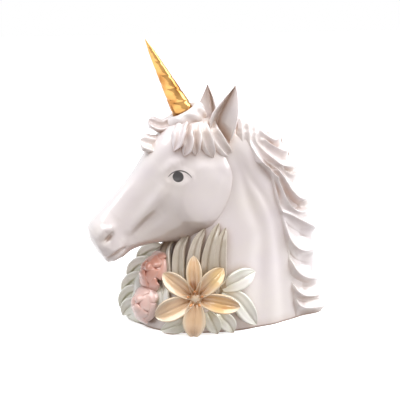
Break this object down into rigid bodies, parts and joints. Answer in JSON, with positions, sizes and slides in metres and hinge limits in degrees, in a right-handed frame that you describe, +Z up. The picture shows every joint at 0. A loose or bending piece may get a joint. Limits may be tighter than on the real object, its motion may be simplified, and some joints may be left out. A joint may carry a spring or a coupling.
{
  "type": "unicorn bust figurine",
  "caption": "Glazed ceramic bust of a unicorn with a spiral horn, flowing mane and flowers at the chest, on a flat oval foot.",
  "frame": {"origin": "centre of the neck's oval foot on the surface it stands on", "axes": "+Z up, nose towards -X, the horse's left side towards -Y, the plane of symmetry of head and neck is Y = 0"},
  "size_m": [0.1466, 0.0731, 0.1671],
  "materials": {
    "pearl_glaze": "white glaze with a mother-of-pearl lustre",
    "gold_lustre": "fired gold lustre over glaze, mirror bright",
    "coral_glaze": "translucent coral glaze, paler on the edges",
    "pink_glaze": "pale pink glaze, whiter on the edges",
    "cream_glaze": "cream and peach glaze, whiter on the edges",
    "amber_glaze": "amber glaze",
    "green_glaze": "very pale green glaze, olive in the hollows"
  },
  "bodies": {
    "root": {"ear_left": "pearl_glaze", "ear_right": "pearl_glaze", "forelock_1": "pearl_glaze", "forelock_2": "pearl_glaze", "forelock_mound": "pearl_glaze", "fringe_left_1": "pearl_glaze", "fringe_left_2": "pearl_glaze", "fringe_left_3": "pearl_glaze", "fringe_left_4": "pearl_glaze", "fringe_left_5": "pearl_glaze", "fringe_right_1": "pearl_glaze", "fringe_right_2": "pearl_glaze", "fringe_right_3": "pearl_glaze", "head_casting": "pearl_glaze", "horn": "gold_lustre", "leaf_far": "green_glaze", "leaf_front": "green_glaze", "leaf_low": "green_glaze", "leaf_side": "green_glaze", "leaf_throat": "green_glaze", "lily_centre": "cream_glaze", "lily_petals": "cream_glaze", "lily_stamens": "amber_glaze", "mane_crest_1": "pearl_glaze", "mane_crest_2": "pearl_glaze", "mane_crest_3": "pearl_glaze", "mane_crest_4": "pearl_glaze", "mane_left_1": "pearl_glaze", "mane_left_10": "pearl_glaze", "mane_left_11": "pearl_glaze", "mane_left_12": "pearl_glaze", "mane_left_13": "pearl_glaze", "mane_left_14": "pearl_glaze", "mane_left_15": "pearl_glaze", "mane_left_16": "pearl_glaze", "mane_left_2": "pearl_glaze", "mane_left_3": "pearl_glaze", "mane_left_4": "pearl_glaze", "mane_left_5": "pearl_glaze", "mane_left_6": "pearl_glaze", "mane_left_7": "pearl_glaze", "mane_left_8": "pearl_glaze", "mane_left_9": "pearl_glaze", "mane_right_1": "pearl_glaze", "mane_right_2": "pearl_glaze", "mane_right_3": "pearl_glaze", "mane_right_4": "pearl_glaze", "mane_right_5": "pearl_glaze", "mane_right_6": "pearl_glaze", "mane_right_7": "pearl_glaze", "mane_right_8": "pearl_glaze", "neck_casting": "pearl_glaze", "rose_lower_heart": "pink_glaze", "rose_lower_petals": "pink_glaze", "rose_upper_heart": "coral_glaze", "rose_upper_petals": "coral_glaze"}
  },
  "joints": []
}
